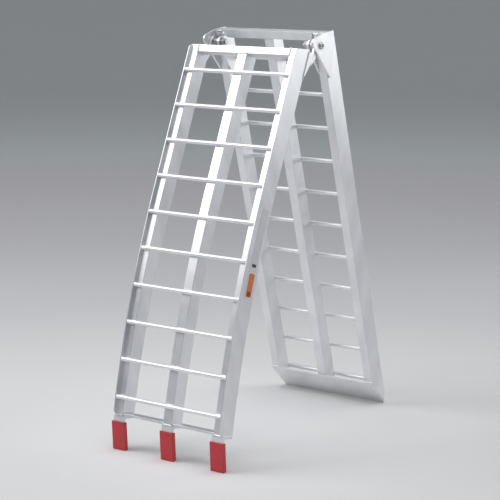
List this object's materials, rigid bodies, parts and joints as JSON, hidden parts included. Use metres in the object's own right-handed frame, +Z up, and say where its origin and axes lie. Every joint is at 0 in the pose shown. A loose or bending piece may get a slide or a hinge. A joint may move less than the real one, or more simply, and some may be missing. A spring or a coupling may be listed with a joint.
{
  "type": "folding loading ramp",
  "caption": "Aluminium loading ramp that folds at a central hinge, with rungs, guard lips, padded tailgate fingers and a bevelled foot; it stands as an A-frame.",
  "frame": {"origin": "on the floor, at the middle of the footprint, with the ramp standing as an A-frame", "axes": "+Z up, X along the rungs, tailgate section towards -Y and ground section towards +Y"},
  "size_m": [0.34, 0.7576, 1.0077],
  "materials": {
    "rail_aluminium": "mill finish extrusion",
    "rung_aluminium": "bright round bar",
    "plate_aluminium": "mill finish plate",
    "hinge_aluminium": "cut plate, lightly brushed",
    "bolt_steel": "zinc plated",
    "spacer_steel": "zinc plated",
    "sleeve_vinyl": "dipped red vinyl, satin",
    "label": "printed film, no text"
  },
  "bodies": {
    "ground_section": {"ground_foot_plate": "plate_aluminium", "ground_rail_center": "rail_aluminium", "ground_rail_left": "rail_aluminium", "ground_rail_right": "rail_aluminium", "ground_rung_01": "rung_aluminium", "ground_rung_02": "rung_aluminium", "ground_rung_03": "rung_aluminium", "ground_rung_04": "rung_aluminium", "ground_rung_05": "rung_aluminium", "ground_rung_06": "rung_aluminium", "ground_rung_07": "rung_aluminium", "ground_rung_08": "rung_aluminium", "ground_rung_09": "rung_aluminium", "ground_rung_10": "rung_aluminium", "ground_rung_11": "rung_aluminium", "ground_top_crossmember": "plate_aluminium", "hinge_plate_left_inner": "hinge_aluminium", "hinge_plate_left_outer": "hinge_aluminium", "hinge_plate_right_inner": "hinge_aluminium", "hinge_plate_right_outer": "hinge_aluminium", "pivot_bolts": "bolt_steel", "pivot_nuts": "bolt_steel", "pivot_spacers": "spacer_steel", "pivot_washers": "bolt_steel"},
    "tailgate_section": {"finger_sleeve_center": "sleeve_vinyl", "finger_sleeve_left": "sleeve_vinyl", "finger_sleeve_right": "sleeve_vinyl", "hinge_ear_left": "hinge_aluminium", "hinge_ear_right": "hinge_aluminium", "rail_label": "label", "tailgate_end_strip_left": "plate_aluminium", "tailgate_end_strip_right": "plate_aluminium", "tailgate_finger_center": "plate_aluminium", "tailgate_finger_left": "plate_aluminium", "tailgate_finger_right": "plate_aluminium", "tailgate_rail_center": "rail_aluminium", "tailgate_rail_left": "rail_aluminium", "tailgate_rail_right": "rail_aluminium", "tailgate_rung_01": "rung_aluminium", "tailgate_rung_02": "rung_aluminium", "tailgate_rung_03": "rung_aluminium", "tailgate_rung_04": "rung_aluminium", "tailgate_rung_05": "rung_aluminium", "tailgate_rung_06": "rung_aluminium", "tailgate_rung_07": "rung_aluminium", "tailgate_rung_08": "rung_aluminium", "tailgate_rung_09": "rung_aluminium", "tailgate_rung_10": "rung_aluminium", "tailgate_top_crossbar": "plate_aluminium"}
  },
  "joints": [
    {"name": "center_hinge", "type": "hinge", "parent": "ground_section", "child": "tailgate_section", "pos_m": [0, 0.02893, 0.9728], "axis": [1, 0, 0], "range_deg": [-140.7, 38.6]}
  ]
}
